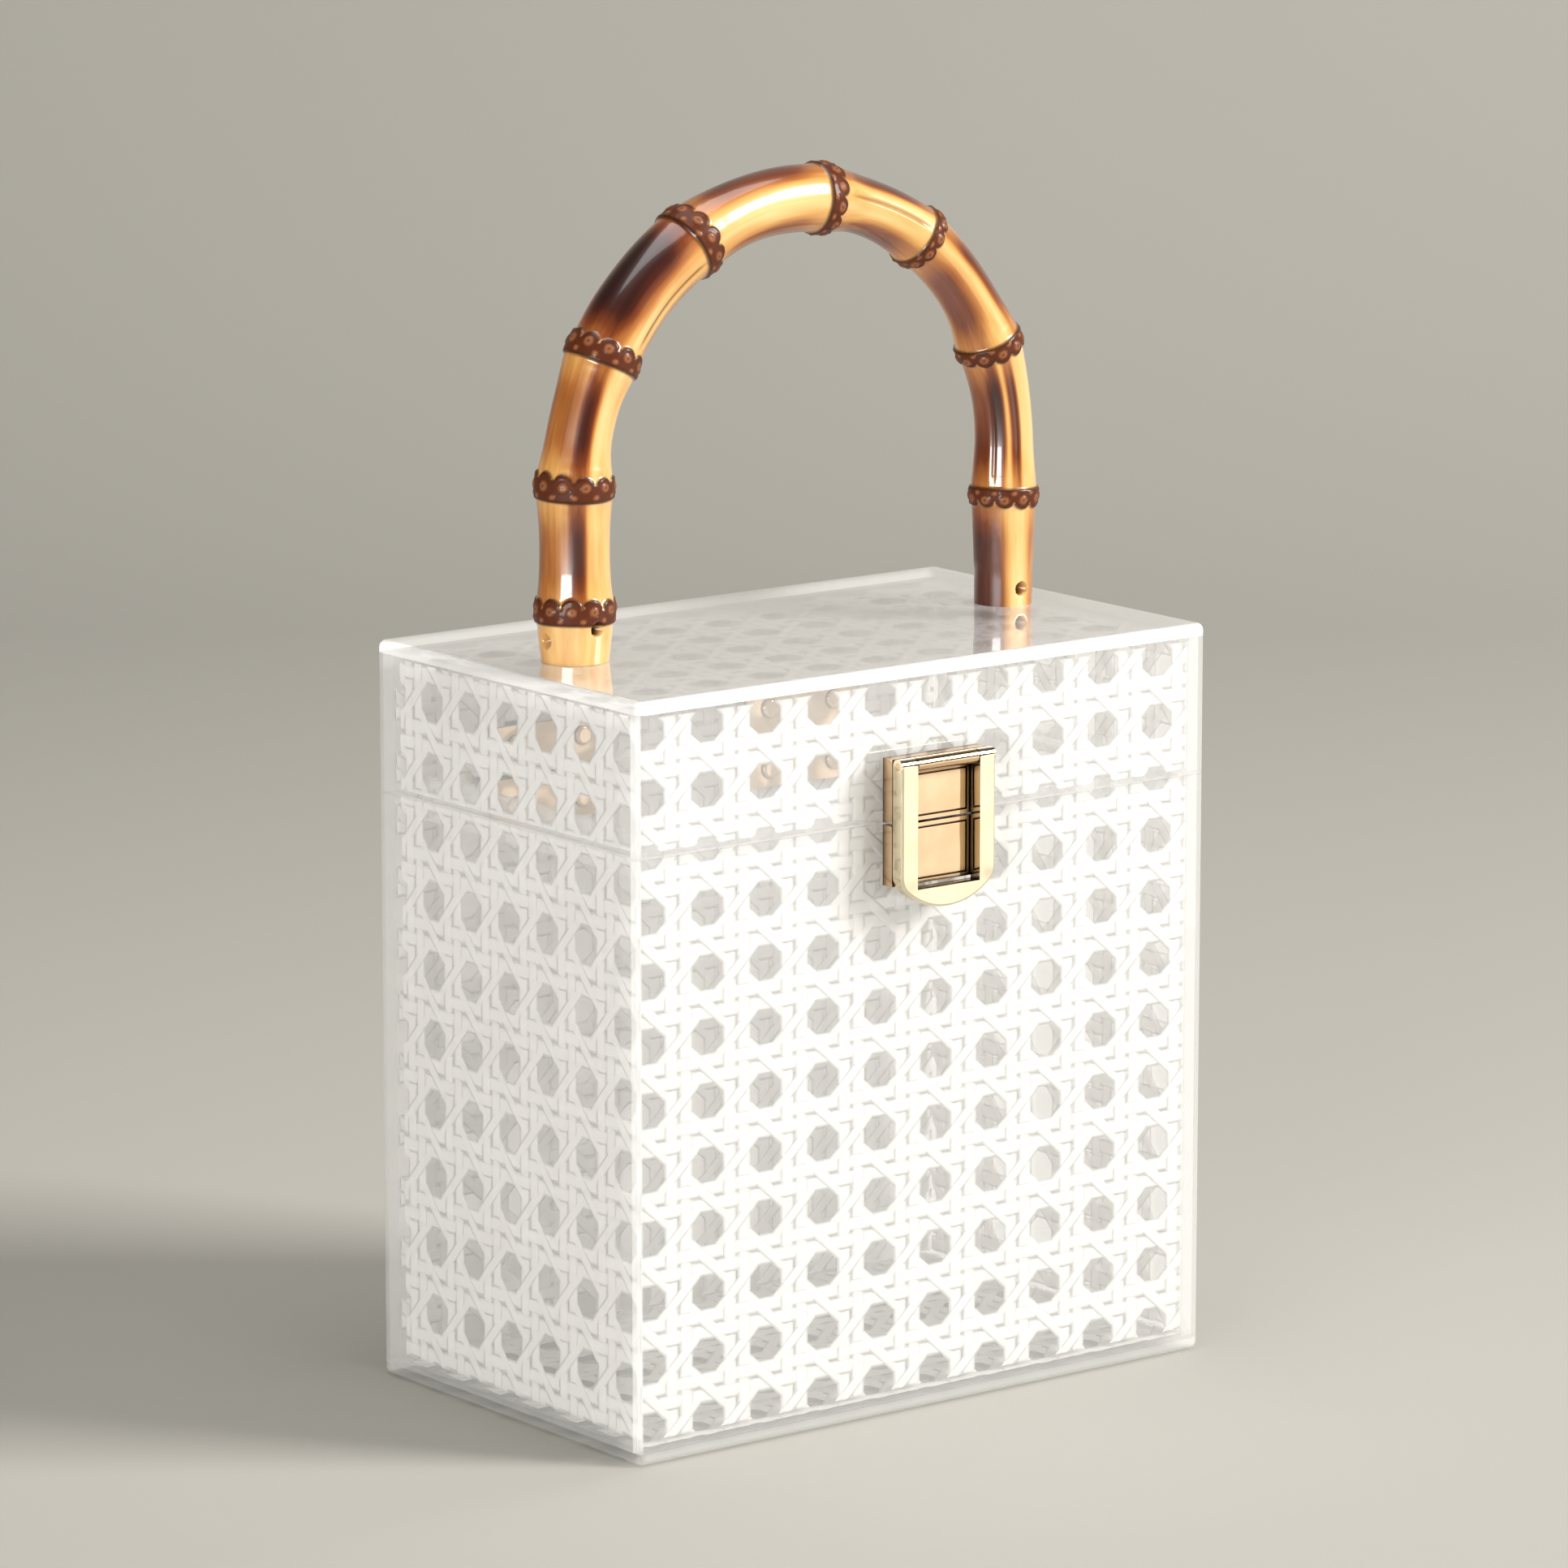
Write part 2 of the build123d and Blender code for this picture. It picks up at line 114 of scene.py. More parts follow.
def clear_acrylic(thin, milk_and_painted_light, haze):
    """Polished clear acrylic sheet, thin along one direction: clear through its faces, mirror-like at a low
    angle, with a faint white haze, and milky white at its sawn edges. That white is partly the edges' own
    frosting and partly painted light, strongest on the edges that face the front."""
    material, tree = new_material("polished clear acrylic, thin along " + "XYZ"[list(thin).index(1)])
    gloss = add(tree, "ShaderNodeBsdfGlossy", {"Color": (1, 1, 1, 1), "Roughness": 0.02})
    clear = add(tree, "ShaderNodeBsdfTransparent", {"Color": (1, 1, 1, 1)})
    veil = add(tree, "ShaderNodeBsdfTranslucent", {"Color": (1, 1, 1, 1)})
    bloom = add(tree, "ShaderNodeBsdfDiffuse", {"Color": (1, 1, 1, 1)})
    hazy = add(tree, "ShaderNodeMixShader", {0: 0.5, 1: veil, 2: bloom})
    seen_through = add(tree, "ShaderNodeMixShader", {0: haze, 1: clear, 2: hazy})
    edge_on = add(tree, "ShaderNodeFresnel", {"IOR": 1.49})
    # Only the face turned to the eye reflects, for both faces of the sheet.
    behind = add(tree, "ShaderNodeNewGeometry").outputs["Backfacing"]
    facing = add(tree, "ShaderNodeMath", {0: 1.0, 1: behind}, operation="SUBTRACT")
    shine = add(tree, "ShaderNodeMath", {0: edge_on, 1: facing}, operation="MULTIPLY")
    doubled = add(tree, "ShaderNodeMath", {0: shine, 1: 1.5}, operation="MULTIPLY", use_clamp=True)
    face = add(tree, "ShaderNodeMixShader", {0: doubled, 1: seen_through, 2: gloss})
    # The sawn edges face away from the thin direction. Their white is partly their own frosting and partly
    # painted light: those that face the front are painted the brightest.
    outward = add(tree, "ShaderNodeTexCoord").outputs["Normal"]
    turned = add(tree, "ShaderNodeVectorMath", {0: outward, 1: tuple(thin)}, operation="DOT_PRODUCT")
    flat = add(tree, "ShaderNodeMath", {0: turned.outputs["Value"]}, operation="ABSOLUTE")
    milky = add(tree, "ShaderNodeMapRange",
                {"Value": flat, "From Min": 0.97, "From Max": 0.75, "To Min": 0.0, "To Max": milk_and_painted_light})
    white = add(tree, "ShaderNodeBsdfPrincipled",
                {"Base Color": colour("#FBFCFA"), "Roughness": 0.15, "IOR": 1.49})
    # Painted light: edges facing the front get the full white, and edges facing sideways or back get 0.3 of
    # it.
    forward = add(tree, "ShaderNodeVectorMath", {0: outward, 1: tuple(-Y)}, operation="DOT_PRODUCT")
    painted_front_light = add(tree, "ShaderNodeMapRange",
                    {"Value": forward.outputs["Value"], "To Min": 0.3, "To Max": 1.0})
    edge_white_with_painted_front_light = add(tree, "ShaderNodeMath", {0: milky, 1: painted_front_light}, operation="MULTIPLY")
    both = add(tree, "ShaderNodeMixShader", {0: edge_white_with_painted_front_light, 1: face, 2: white})
    add(tree, "ShaderNodeOutputMaterial", {"Surface": both})
    return material


def plated_gold(name, pale, deep):
    """Polished gold plate: bright warm reflections, darkening in the corners where no light gets in."""
    material, tree = new_material(name)
    place = add(tree, "ShaderNodeTexCoord").outputs["Object"]
    cloud = add(tree, "ShaderNodeTexNoise", {"Vector": place, "Scale": 160.0, "Detail": 2.0})
    tone = add(tree, "ShaderNodeMix", {"Factor": cloud, 6: colour(deep), 7: colour(pale)}, data_type="RGBA")
    open_to_light = add(tree, "ShaderNodeAmbientOcclusion", {"Distance": 3 * MM}, samples=8)
    shade = add(tree, "ShaderNodeMapRange",
                {"Value": open_to_light.outputs["AO"], "From Min": 0.45, "From Max": 0.95,
                 "To Min": 1.0, "To Max": 0.0})
    shaded = add(tree, "ShaderNodeMix", {"Factor": shade, 6: tone.outputs[2], 7: colour("#452A18")},
                 data_type="RGBA")
    brushed = add(tree, "ShaderNodeMapping", {"Vector": place, "Scale": (6000, 6000, 120)})
    hair = add(tree, "ShaderNodeTexNoise", {"Vector": brushed, "Scale": 1.0, "Detail": 3.0})
    dull = add(tree, "ShaderNodeMapRange", {"Value": hair, "To Min": 0.05, "To Max": 0.12})
    # Pressed plate is never quite flat: swells about 8 mm across.
    swell = add(tree, "ShaderNodeTexNoise", {"Vector": place, "Scale": 120.0, "Detail": 0.0})
    bump = add(tree, "ShaderNodeBump", {"Height": swell, "Strength": 0.35, "Distance": 0.0006})
    shader = add(tree, "ShaderNodeBsdfPrincipled",
                 {"Base Color": shaded.outputs[2], "Metallic": 1.0, "Roughness": dull, "Normal": bump})
    add(tree, "ShaderNodeOutputMaterial", {"Surface": shader})
    return material


def plated_steel():
    """Nickel-plated screw steel: a cool bright metal."""
    material, tree = new_material("nickel-plated steel")
    place = add(tree, "ShaderNodeTexCoord").outputs["Object"]
    turned = add(tree, "ShaderNodeTexNoise", {"Vector": place, "Scale": 900.0, "Detail": 2.0})
    dull = add(tree, "ShaderNodeMapRange", {"Value": turned, "To Min": 0.18, "To Max": 0.34})
    shader = add(tree, "ShaderNodeBsdfPrincipled",
                 {"Base Color": colour("#C9C8C4"), "Metallic": 1.0, "Roughness": dull})
    add(tree, "ShaderNodeOutputMaterial", {"Surface": shader})
    return material


def lacquered_bamboo():
    """Bent bamboo root, scorched and lacquered: pale gold with long burnt brown stripes under a gloss,
    and dull dark brown knots."""
    material, tree = new_material("scorched lacquered bamboo")
    culm = add(tree, "ShaderNodeAttribute", attribute_name="culm").outputs["Vector"]
    burn = add(tree, "ShaderNodeAttribute", attribute_name="burn").outputs["Fac"]
    knot = add(tree, "ShaderNodeAttribute", attribute_name="knot").outputs["Fac"]
    bud = add(tree, "ShaderNodeAttribute", attribute_name="bud").outputs["Fac"]
    line = add(tree, "ShaderNodeAttribute", attribute_name="line").outputs["Fac"]
    # Fibre streaks about 1 mm wide and 40 mm long, as the culm has.
    along = add(tree, "ShaderNodeMapping", {"Vector": culm, "Scale": (900, 900, 25)})
    fibres = add(tree, "ShaderNodeTexNoise", {"Vector": along, "Scale": 1.0, "Detail": 4.0, "Roughness": 0.6})
    wide = add(tree, "ShaderNodeMapping", {"Vector": culm, "Scale": (170, 170, 30)})
    clouds = add(tree, "ShaderNodeTexNoise", {"Vector": wide, "Scale": 1.0, "Detail": 2.0})
    ripple = add(tree, "ShaderNodeMath", {0: clouds, 1: 0.5}, operation="SUBTRACT")
    burnt = add(tree, "ShaderNodeMath", {0: ripple, 1: 0.55, 2: burn}, operation="MULTIPLY_ADD")
    streak = add(tree, "ShaderNodeMath", {0: fibres, 1: 0.5}, operation="SUBTRACT")
    streaked = add(tree, "ShaderNodeMath", {0: streak, 1: 0.22, 2: burnt}, operation="MULTIPLY_ADD")
    skin = add(tree, "ShaderNodeValToRGB", {"Fac": streaked})
    ramp = skin.color_ramp
    ramp.elements[0].position, ramp.elements[0].color = 0.0, colour("#E6C184")
    ramp.elements[1].position, ramp.elements[1].color = 1.0, colour("#260903")
    for position, code in ((0.22, "#CF9A54"), (0.42, "#A0612A"), (0.62, "#6B3010"), (0.82, "#3E1405")):
        stop = ramp.elements.new(position)
        stop.color = colour(code)
    carved = add(tree, "ShaderNodeMix", {"Factor": bud, 6: colour("#502512"), 7: colour("#9E6642")},
                 data_type="RGBA")
    with_knots = add(tree, "ShaderNodeMix", {"Factor": knot, 6: skin, 7: carved.outputs[2]}, data_type="RGBA")
    # The line mark paints dark brown along the knots' feet and in the grooves, and paints shade into the
    # drilled foot holes.
    with_lines_and_painted_hole_shade = add(tree, "ShaderNodeMix",
                     {"Factor": line, 6: with_knots.outputs[2], 7: colour("#1E0803")}, data_type="RGBA")
    bump = add(tree, "ShaderNodeBump", {"Height": fibres, "Strength": 0.12, "Distance": 0.0002})
    rough = add(tree, "ShaderNodeMapRange", {"Value": knot, "To Min": 0.28, "To Max": 0.45})
    cut = add(tree, "ShaderNodeMath", {0: knot, 1: line}, operation="MAXIMUM")
    lacquer = add(tree, "ShaderNodeMapRange", {"Value": cut, "To Min": 0.7, "To Max": 0.15})
    shine = add(tree, "ShaderNodeMapRange", {"Value": cut, "To Min": 0.5, "To Max": 0.12})
    shader = add(tree, "ShaderNodeBsdfPrincipled",
                 {"Base Color": with_lines_and_painted_hole_shade.outputs[2], "Roughness": rough, "Normal": bump,
                  "Specular IOR Level": shine, "Coat Weight": lacquer, "Coat Roughness": 0.06})
    add(tree, "ShaderNodeOutputMaterial", {"Surface": shader})
    return material


def studio_paper():
    """Pale warm paper for the floor and the sweep behind."""
    material, tree = new_material("studio paper")
    place = add(tree, "ShaderNodeTexCoord").outputs["Object"]
    fibre = add(tree, "ShaderNodeTexNoise", {"Vector": place, "Scale": 700.0, "Detail": 2.0})
    bump = add(tree, "ShaderNodeBump", {"Height": fibre, "Strength": 0.05, "Distance": 0.0002})
    shader = add(tree, "ShaderNodeBsdfPrincipled",
                 {"Base Color": colour("#A9A7A0"), "Roughness": 0.75, "Specular IOR Level": 0.25,
                  "Normal": bump})
    add(tree, "ShaderNodeOutputMaterial", {"Surface": shader})
    return material


# ---- the webbing ----

def webbing_tree():
    """One repeat of the weave, laid side by side over a sheet of any size."""
    tree = bpy.data.node_groups.new("woven webbing", "GeometryNodeTree")
    for name, kind in (("Width", "NodeSocketFloat"), ("Height", "NodeSocketFloat"),
                       ("Repeat Across", "NodeSocketFloat"), ("Repeat Up", "NodeSocketFloat"),
                       ("First Hole Across", "NodeSocketFloat"), ("First Hole Up", "NodeSocketFloat"),
                       ("Warp Width", "NodeSocketFloat"), ("Weft Width", "NodeSocketFloat"),
                       ("Diagonal Width", "NodeSocketFloat"), ("Strand Thickness", "NodeSocketFloat"),
                       ("Pair Offset", "NodeSocketFloat"), ("Pair Wave", "NodeSocketFloat"),
                       ("Diagonal Wave", "NodeSocketFloat"), ("Finish", "NodeSocketMaterial")):
        tree.interface.new_socket(name=name, in_out="INPUT", socket_type=kind)
    tree.interface.new_socket(name="Webbing", in_out="OUTPUT", socket_type="NodeSocketGeometry")
    given = add(tree, "NodeGroupInput").outputs
    repeat = add(tree, "ShaderNodeCombineXYZ", {0: given["Repeat Across"], 1: given["Repeat Up"]})

    # How far each strand stands forward at each place of the repeat.
    place = add(tree, "GeometryNodeInputPosition")
    share = add(tree, "ShaderNodeSeparateXYZ",
                {0: add(tree, "ShaderNodeVectorMath", {0: place, 1: repeat}, operation="DIVIDE")})
    turn_across = add(tree, "ShaderNodeMath", {0: share.outputs[0], 1: math.tau}, operation="MULTIPLY")
    turn_up = add(tree, "ShaderNodeMath", {0: share.outputs[1], 1: math.tau}, operation="MULTIPLY")
    in_pairs = add(tree, "ShaderNodeMath",
                   {0: add(tree, "ShaderNodeMath", {0: turn_across}, operation="SINE"),
                    1: add(tree, "ShaderNodeMath", {0: turn_up}, operation="SINE")}, operation="MULTIPLY")
    in_diagonals = add(tree, "ShaderNodeMath",
                       {0: add(tree, "ShaderNodeMath", {0: turn_up}, operation="COSINE"),
                        1: add(tree, "ShaderNodeMath", {0: turn_across}, operation="COSINE")},
                       operation="SUBTRACT")

    low = add(tree, "ShaderNodeMath", {0: 0.5, 1: given["Pair Offset"]}, operation="SUBTRACT")
    high = add(tree, "ShaderNodeMath", {0: 0.5, 1: given["Pair Offset"]}, operation="ADD")
    families = (
        ("warp", 10, in_pairs, -1.0, "Pair Wave", (((low, 0), (low, 1)), ((high, 0), (high, 1)))),
        ("weft", 10, in_pairs, 1.0, "Pair Wave", (((0, low), (1, low)), ((0, high), (1, high)))),
        ("rising diagonal", 7, in_diagonals, 0.5, "Diagonal Wave",
         (((0, 0.5), (0.5, 1)), ((0.5, 0), (1, 0.5)))),
        ("falling diagonal", 7, in_diagonals, -0.5, "Diagonal Wave",
         (((0, 0.5), (0.5, 0)), ((0.5, 1), (1, 0.5)))),
    )
    ways = {"warp": (0, 1, 0), "weft": (1, 0, 0),
            "rising diagonal": (1, 1, 0), "falling diagonal": (1, -1, 0)}
    circle = add(tree, "GeometryNodeCurvePrimitiveCircle", {"Resolution": 6, "Radius": 0.5})
    strands = []
    for name, steps, wave, sign, size, runs in families:
        across = given[name.split()[-1].capitalize() + " Width"]
        oval = add(tree, "GeometryNodeTransform",
                   {"Geometry": circle,
                    "Scale": add(tree, "ShaderNodeCombineXYZ",
                                 {0: across, 1: given["Strand Thickness"], 2: 1.0})})
        lines = add(tree, "GeometryNodeJoinGeometry", label=name)
        for ends in runs:
            start, end = [add(tree, "ShaderNodeVectorMath",
                              {0: add(tree, "ShaderNodeCombineXYZ", {0: across, 1: up}), 1: repeat},
                              operation="MULTIPLY") for across, up in ends]
            line = add(tree, "GeometryNodeCurvePrimitiveLine", {"Start": start, "End": end})
            fine = add(tree, "GeometryNodeResampleCurve", {"Curve": line, "Count": steps + 1})
            tree.links.new(fine.outputs[0], lines.inputs[0])
        height = add(tree, "ShaderNodeMath",
                     {0: add(tree, "ShaderNodeMath", {0: wave, 1: sign}, operation="MULTIPLY"),
                      1: given[size]}, operation="MULTIPLY")
        waved = add(tree, "GeometryNodeSetPosition",
                    {"Geometry": lines, "Offset": add(tree, "ShaderNodeCombineXYZ", {2: height})})
        level = add(tree, "GeometryNodeSetCurveNormal", {"Curve": waved}, mode="Z_UP")
        strand = add(tree, "GeometryNodeCurveToMesh", {"Curve": level, "Profile Curve": oval})
        step = add(tree, "ShaderNodeVectorMath", {0: ways[name], 1: repeat}, operation="MULTIPLY")
        run = add(tree, "ShaderNodeVectorMath", {0: step}, operation="NORMALIZE")
        strands.append(add(tree, "GeometryNodeStoreNamedAttribute",
                           {"Geometry": strand, "Name": "way", "Value": run}, data_type="FLOAT_VECTOR"))
    repeat_mesh = add(tree, "GeometryNodeJoinGeometry")
    for strand in strands:
        tree.links.new(strand.outputs[0], repeat_mesh.inputs[0])

    # The repeats cover the sheet from one repeat before its first hole.
    counts, middles = [], []
    for size, step, first in (("Width", "Repeat Across", "First Hole Across"),
                              ("Height", "Repeat Up", "First Hole Up")):
        whole = add(tree, "ShaderNodeMath", {0: given[size], 1: given[step]}, operation="DIVIDE")
        count = add(tree, "ShaderNodeMath",
                    {0: add(tree, "ShaderNodeMath", {0: whole}, operation="CEIL"), 1: 1.0}, operation="ADD")
        gaps = add(tree, "ShaderNodeMath", {0: count, 1: 1.0}, operation="SUBTRACT")
        span = add(tree, "ShaderNodeMath", {0: gaps, 1: given[step]}, operation="MULTIPLY")
        start = add(tree, "ShaderNodeMath", {0: given[first], 1: given[step]}, operation="SUBTRACT")
        counts.append((count, span))
        middles.append(add(tree, "ShaderNodeMath", {0: span, 1: 0.5, 2: start}, operation="MULTIPLY_ADD"))
    grid = add(tree, "GeometryNodeMeshGrid",
               {"Size X": counts[0][1], "Size Y": counts[1][1],
                "Vertices X": counts[0][0], "Vertices Y": counts[1][0]})
    placed = add(tree, "GeometryNodeTransform",
                 {"Geometry": grid,
                  "Translation": add(tree, "ShaderNodeCombineXYZ", {0: middles[0], 1: middles[1]})})
    laid = add(tree, "GeometryNodeInstanceOnPoints", {"Points": placed, "Instance": repeat_mesh})
    joined = add(tree, "GeometryNodeMergeByDistance",
                 {"Geometry": add(tree, "GeometryNodeRealizeInstances", {"Geometry": laid}),
                  "Distance": 0.06 * MM})

    # Where each bit of strand lies across and along its own way, for the fibres in its finish.
    spot = add(tree, "GeometryNodeInputPosition")
    way = add(tree, "GeometryNodeInputNamedAttribute", {"Name": "way"}, data_type="FLOAT_VECTOR")
    side = add(tree, "ShaderNodeVectorMath", {0: way, 1: tuple(Z)}, operation="CROSS_PRODUCT")
    lies = [add(tree, "ShaderNodeVectorMath", {0: spot, 1: line}, operation="DOT_PRODUCT").outputs["Value"]
            for line in (side, way)]
    marked = add(tree, "GeometryNodeStoreNamedAttribute",
                 {"Geometry": joined, "Name": "strand run",
                  "Value": add(tree, "ShaderNodeCombineXYZ", {0: lies[0], 1: lies[1]})},
                 data_type="FLOAT_VECTOR")
    finished = add(tree, "GeometryNodeSetMaterial", {"Geometry": marked, "Material": given["Finish"]})
    add(tree, "NodeGroupOutput", {0: finished})
    return tree


def made_by(tree, name, **inputs):
    """Runs a node tree with its inputs set and gives its result as a plain mesh."""
    holder = bpy.data.objects.new(name, bpy.data.meshes.new(name))
    bpy.context.scene.collection.objects.link(holder)
    modifier = holder.modifiers.new("made", "NODES")
    modifier.node_group = tree
    sockets = {item.name: item.identifier for item in tree.interface.items_tree if item.in_out == "INPUT"}
    for label, value in inputs.items():
        modifier[sockets[label.replace("_", " ")]] = value
    result = bpy.data.meshes.new_from_object(
        holder.evaluated_get(bpy.context.evaluated_depsgraph_get()))
    bpy.data.objects.remove(holder)
    return result


def face_outward(work):
    """Turns every face outward. Sides shade smooth, and cut ends flat."""
    bmesh.ops.recalc_face_normals(work, faces=work.faces[:])
    for face in work.faces:
        face.smooth = len(face.verts) < 5


def trimmed(mesh, width, height):
    """Cuts the webbing to the sheet's size and closes the cut ends."""
    work = bmesh.new()
    work.from_mesh(mesh)
    for corner, away in (((0, 0, 0), -X), ((0, 0, 0), -Y), ((width, 0, 0), X), ((0, height, 0), Y)):
        cut = bmesh.ops.bisect_plane(work, geom=work.verts[:] + work.edges[:] + work.faces[:], dist=1e-7,
                                     plane_co=corner, plane_no=away, clear_outer=True)
        edges = [e for e in cut["geom_cut"] if isinstance(e, bmesh.types.BMEdge)]
        bmesh.ops.edgeloop_fill(work, edges=edges)
    face_outward(work)
    work.to_mesh(mesh)
    work.free()


def piece(name, mesh, body, slot, material, *nodes):
    thing = bpy.data.objects.new(name, mesh)
    bpy.context.scene.collection.objects.link(thing)
    if not mesh.materials:
        mesh.materials.append(material)
    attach(thing, body)
    if nodes:
        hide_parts(*nodes)
    return thing


def cane_sheet(tree, node, body, across, up, hole, finish):
    """A sheet of webbing in the place of its plate, its warp repeat across and its weft repeat up."""
    low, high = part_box(node)
    low, high = Vector(low), Vector(high)
    middle = (low + high) / 2
    size = high - low
    outward = across.cross(up)
    width, height = abs(size.dot(across)), abs(size.dot(up))
    corner = middle - across * width / 2 - up * height / 2
    from_corner = Vector(hole) * MM - corner
    mesh = made_by(tree, node, Width=width, Height=height, Repeat_Across=WARP_REPEAT, Repeat_Up=WEFT_REPEAT,
                   First_Hole_Across=from_corner.dot(across) % WARP_REPEAT,
                   First_Hole_Up=from_corner.dot(up) % WEFT_REPEAT,
                   Warp_Width=WARP_WIDTH, Weft_Width=WEFT_WIDTH, Diagonal_Width=DIAGONAL_WIDTH,
                   Strand_Thickness=STRAND_THICKNESS, Pair_Offset=PAIR_OFFSET,
                   Pair_Wave=PAIR_WAVE, Diagonal_Wave=DIAGONAL_WAVE, Finish=finish)
    trimmed(mesh, width, height)
    turn = Matrix((across, up, outward)).transposed().to_4x4()
    mesh.transform(Matrix.Translation(corner) @ turn)
    return piece("woven_" + node, mesh, body, "white_cane", finish, node)


def line_with_cane(finish):
    """Cane behind every panel. The ends and the side lips have it turned a quarter."""
    tree = webbing_tree()
    sheets = (
        ("body_front_cane", "body", X, Z, (5.0, 0, 7.15)),
        ("body_back_cane", "body", -X, Z, (5.0, 0, 7.15)),
        ("body_left_cane", "body", Z, Y, (0, 4.0, 17.5)),
        ("body_right_cane", "body", Z, -Y, (0, 4.0, 17.5)),
        ("bottom_cane", "body", X, -Y, (5.0, 4.0, 0)),
        ("lid_front_cane", "lid", X, Z, (5.0, 0, 141.5)),
        ("lid_back_cane", "lid", -X, Z, (5.0, 0, 141.5)),
        ("lid_left_cane", "lid", Z, Y, (0, 4.0, 149.7)),
        ("lid_right_cane", "lid", Z, -Y, (0, 4.0, 149.7)),
        ("lid_top_cane", "lid", X, Y, (5.0, 4.0, 0)),
    )
    for node, body, across, up, hole in sheets:
        cane_sheet(tree, node, body, across, up, hole, finish)


# ---- the bamboo handle ----

LENGTH = 2 * LEG + math.pi * ARCH_RADIUS
BUDS = 11                    # root buds round a knot
AROUND = 12 * BUDS
KNOT_BELOW, KNOT_ABOVE = 2.6 * MM, 3.6 * MM   # the raised band each side of a knot's middle
KNOT_SWAY = 0.35 * MM        # how far a knot strays from a true circle
BUD_SIZE, LOW_BUD_SIZE, PIT_SIZE = 1.35 * MM, 0.9 * MM, 0.42 * MM
WAIST_FLARE = 0.12           # mm
GROOVE_WIDTH = 0.45 * MM
HOLE_RADIUS, HOLE_DEPTH = 1.6 * MM, 4.5 * MM
# The stripes that the flame browned along each length, between its knots. Each has its side in degrees
# from the outside of the bend towards the front, its half width in degrees, and how dark it is.
UNBURNT = 0.12
BURNS = (
    ((200, 40, 0.35),),
    ((0, 54, 0.52), (57, 15, 0.78)),
    ((2, 54, 0.52), (60, 16, 0.75)),
    ((26, 52, 1.0), (150, 25, 0.45)),
    ((12, 34, 0.72), (150, 30, 0.52)),
    ((24, 24, 0.76), (160, 36, 0.66)),
    ((150, 40, 0.68), (52, 22, 0.7), (8, 10, 0.8)),
    ((136, 12, 0.85), (104, 10, 0.68), (176, 40, 0.62)),
    ((172, 42, 0.86), (60, 20, 0.42)),
)


def smooth(low, high, value):
    """Rises from 0 at low to 1 at high."""
    t = np.clip((value - low) / (high - low), 0, 1)
    return t * t * (3 - 2 * t)


def on_path(along):
    """The handle's centre line at a length along it, and the outward direction there."""
    along = np.asarray(along)
    turn = np.clip((along - LEG) / ARCH_RADIUS, 0, math.pi)
    past = np.clip(along - (LENGTH - LEG), 0, None)
    climb = np.minimum(along, LEG) - past
    outward = np.stack([-np.cos(turn), np.zeros_like(turn), np.sin(turn)], axis=-1)
    centre = outward * ARCH_RADIUS
    centre[..., 2] += climb
    return centre, outward


def bamboo_stations():
    """Close steps through each knot and wider ones between."""
    knots = np.array(KNOTS) * MM
    stations = [0.0]
    while stations[-1] < LENGTH:
        near = np.abs(knots - stations[-1]).min() < 5.5 * MM
        foot = min(stations[-1], LENGTH - stations[-1]) < 11 * MM
        stations.append(stations[-1] + (0.34 * MM if near or foot else 1.1 * MM))
    stations[-1] = LENGTH
    return np.array(stations)


def culm_radius(along):
    """The bare culm's radius along the handle: waisted between its knots, and a step lower at each."""
    marks, radii = [0.0], [WAIST_RADII[0]]
    for knot, knot_radius, after, waist in zip(KNOTS, KNOT_RADII, KNOTS[1:] + (LENGTH / MM + 12,),
                                               WAIST_RADII[1:]):
        marks += [knot - 3.2, knot, knot + 3.8, knot + (after - knot) * 0.5]
        radii += [knot_radius - 0.75, knot_radius - 0.55, knot_radius - 0.9, waist]
        if knot != KNOTS[-1]:
            marks += [knot + (after - knot) * 0.3, knot + (after - knot) * 0.7]
            radii += [waist + WAIST_FLARE, waist + WAIST_FLARE]
    order = np.argsort(marks)
    culm = np.interp(along / MM, np.array(marks)[order], np.array(radii)[order])[:, 0]
    kernel = np.hanning(9)
    return np.convolve(np.pad(culm, 4, mode="edge"), kernel / kernel.sum(), mode="valid")[:, None] * MM


def turn_from(angle, side):
    """How far round each place is from a side in degrees, either way, in radians."""
    return (angle - math.radians(side) + math.pi) % math.tau - math.pi


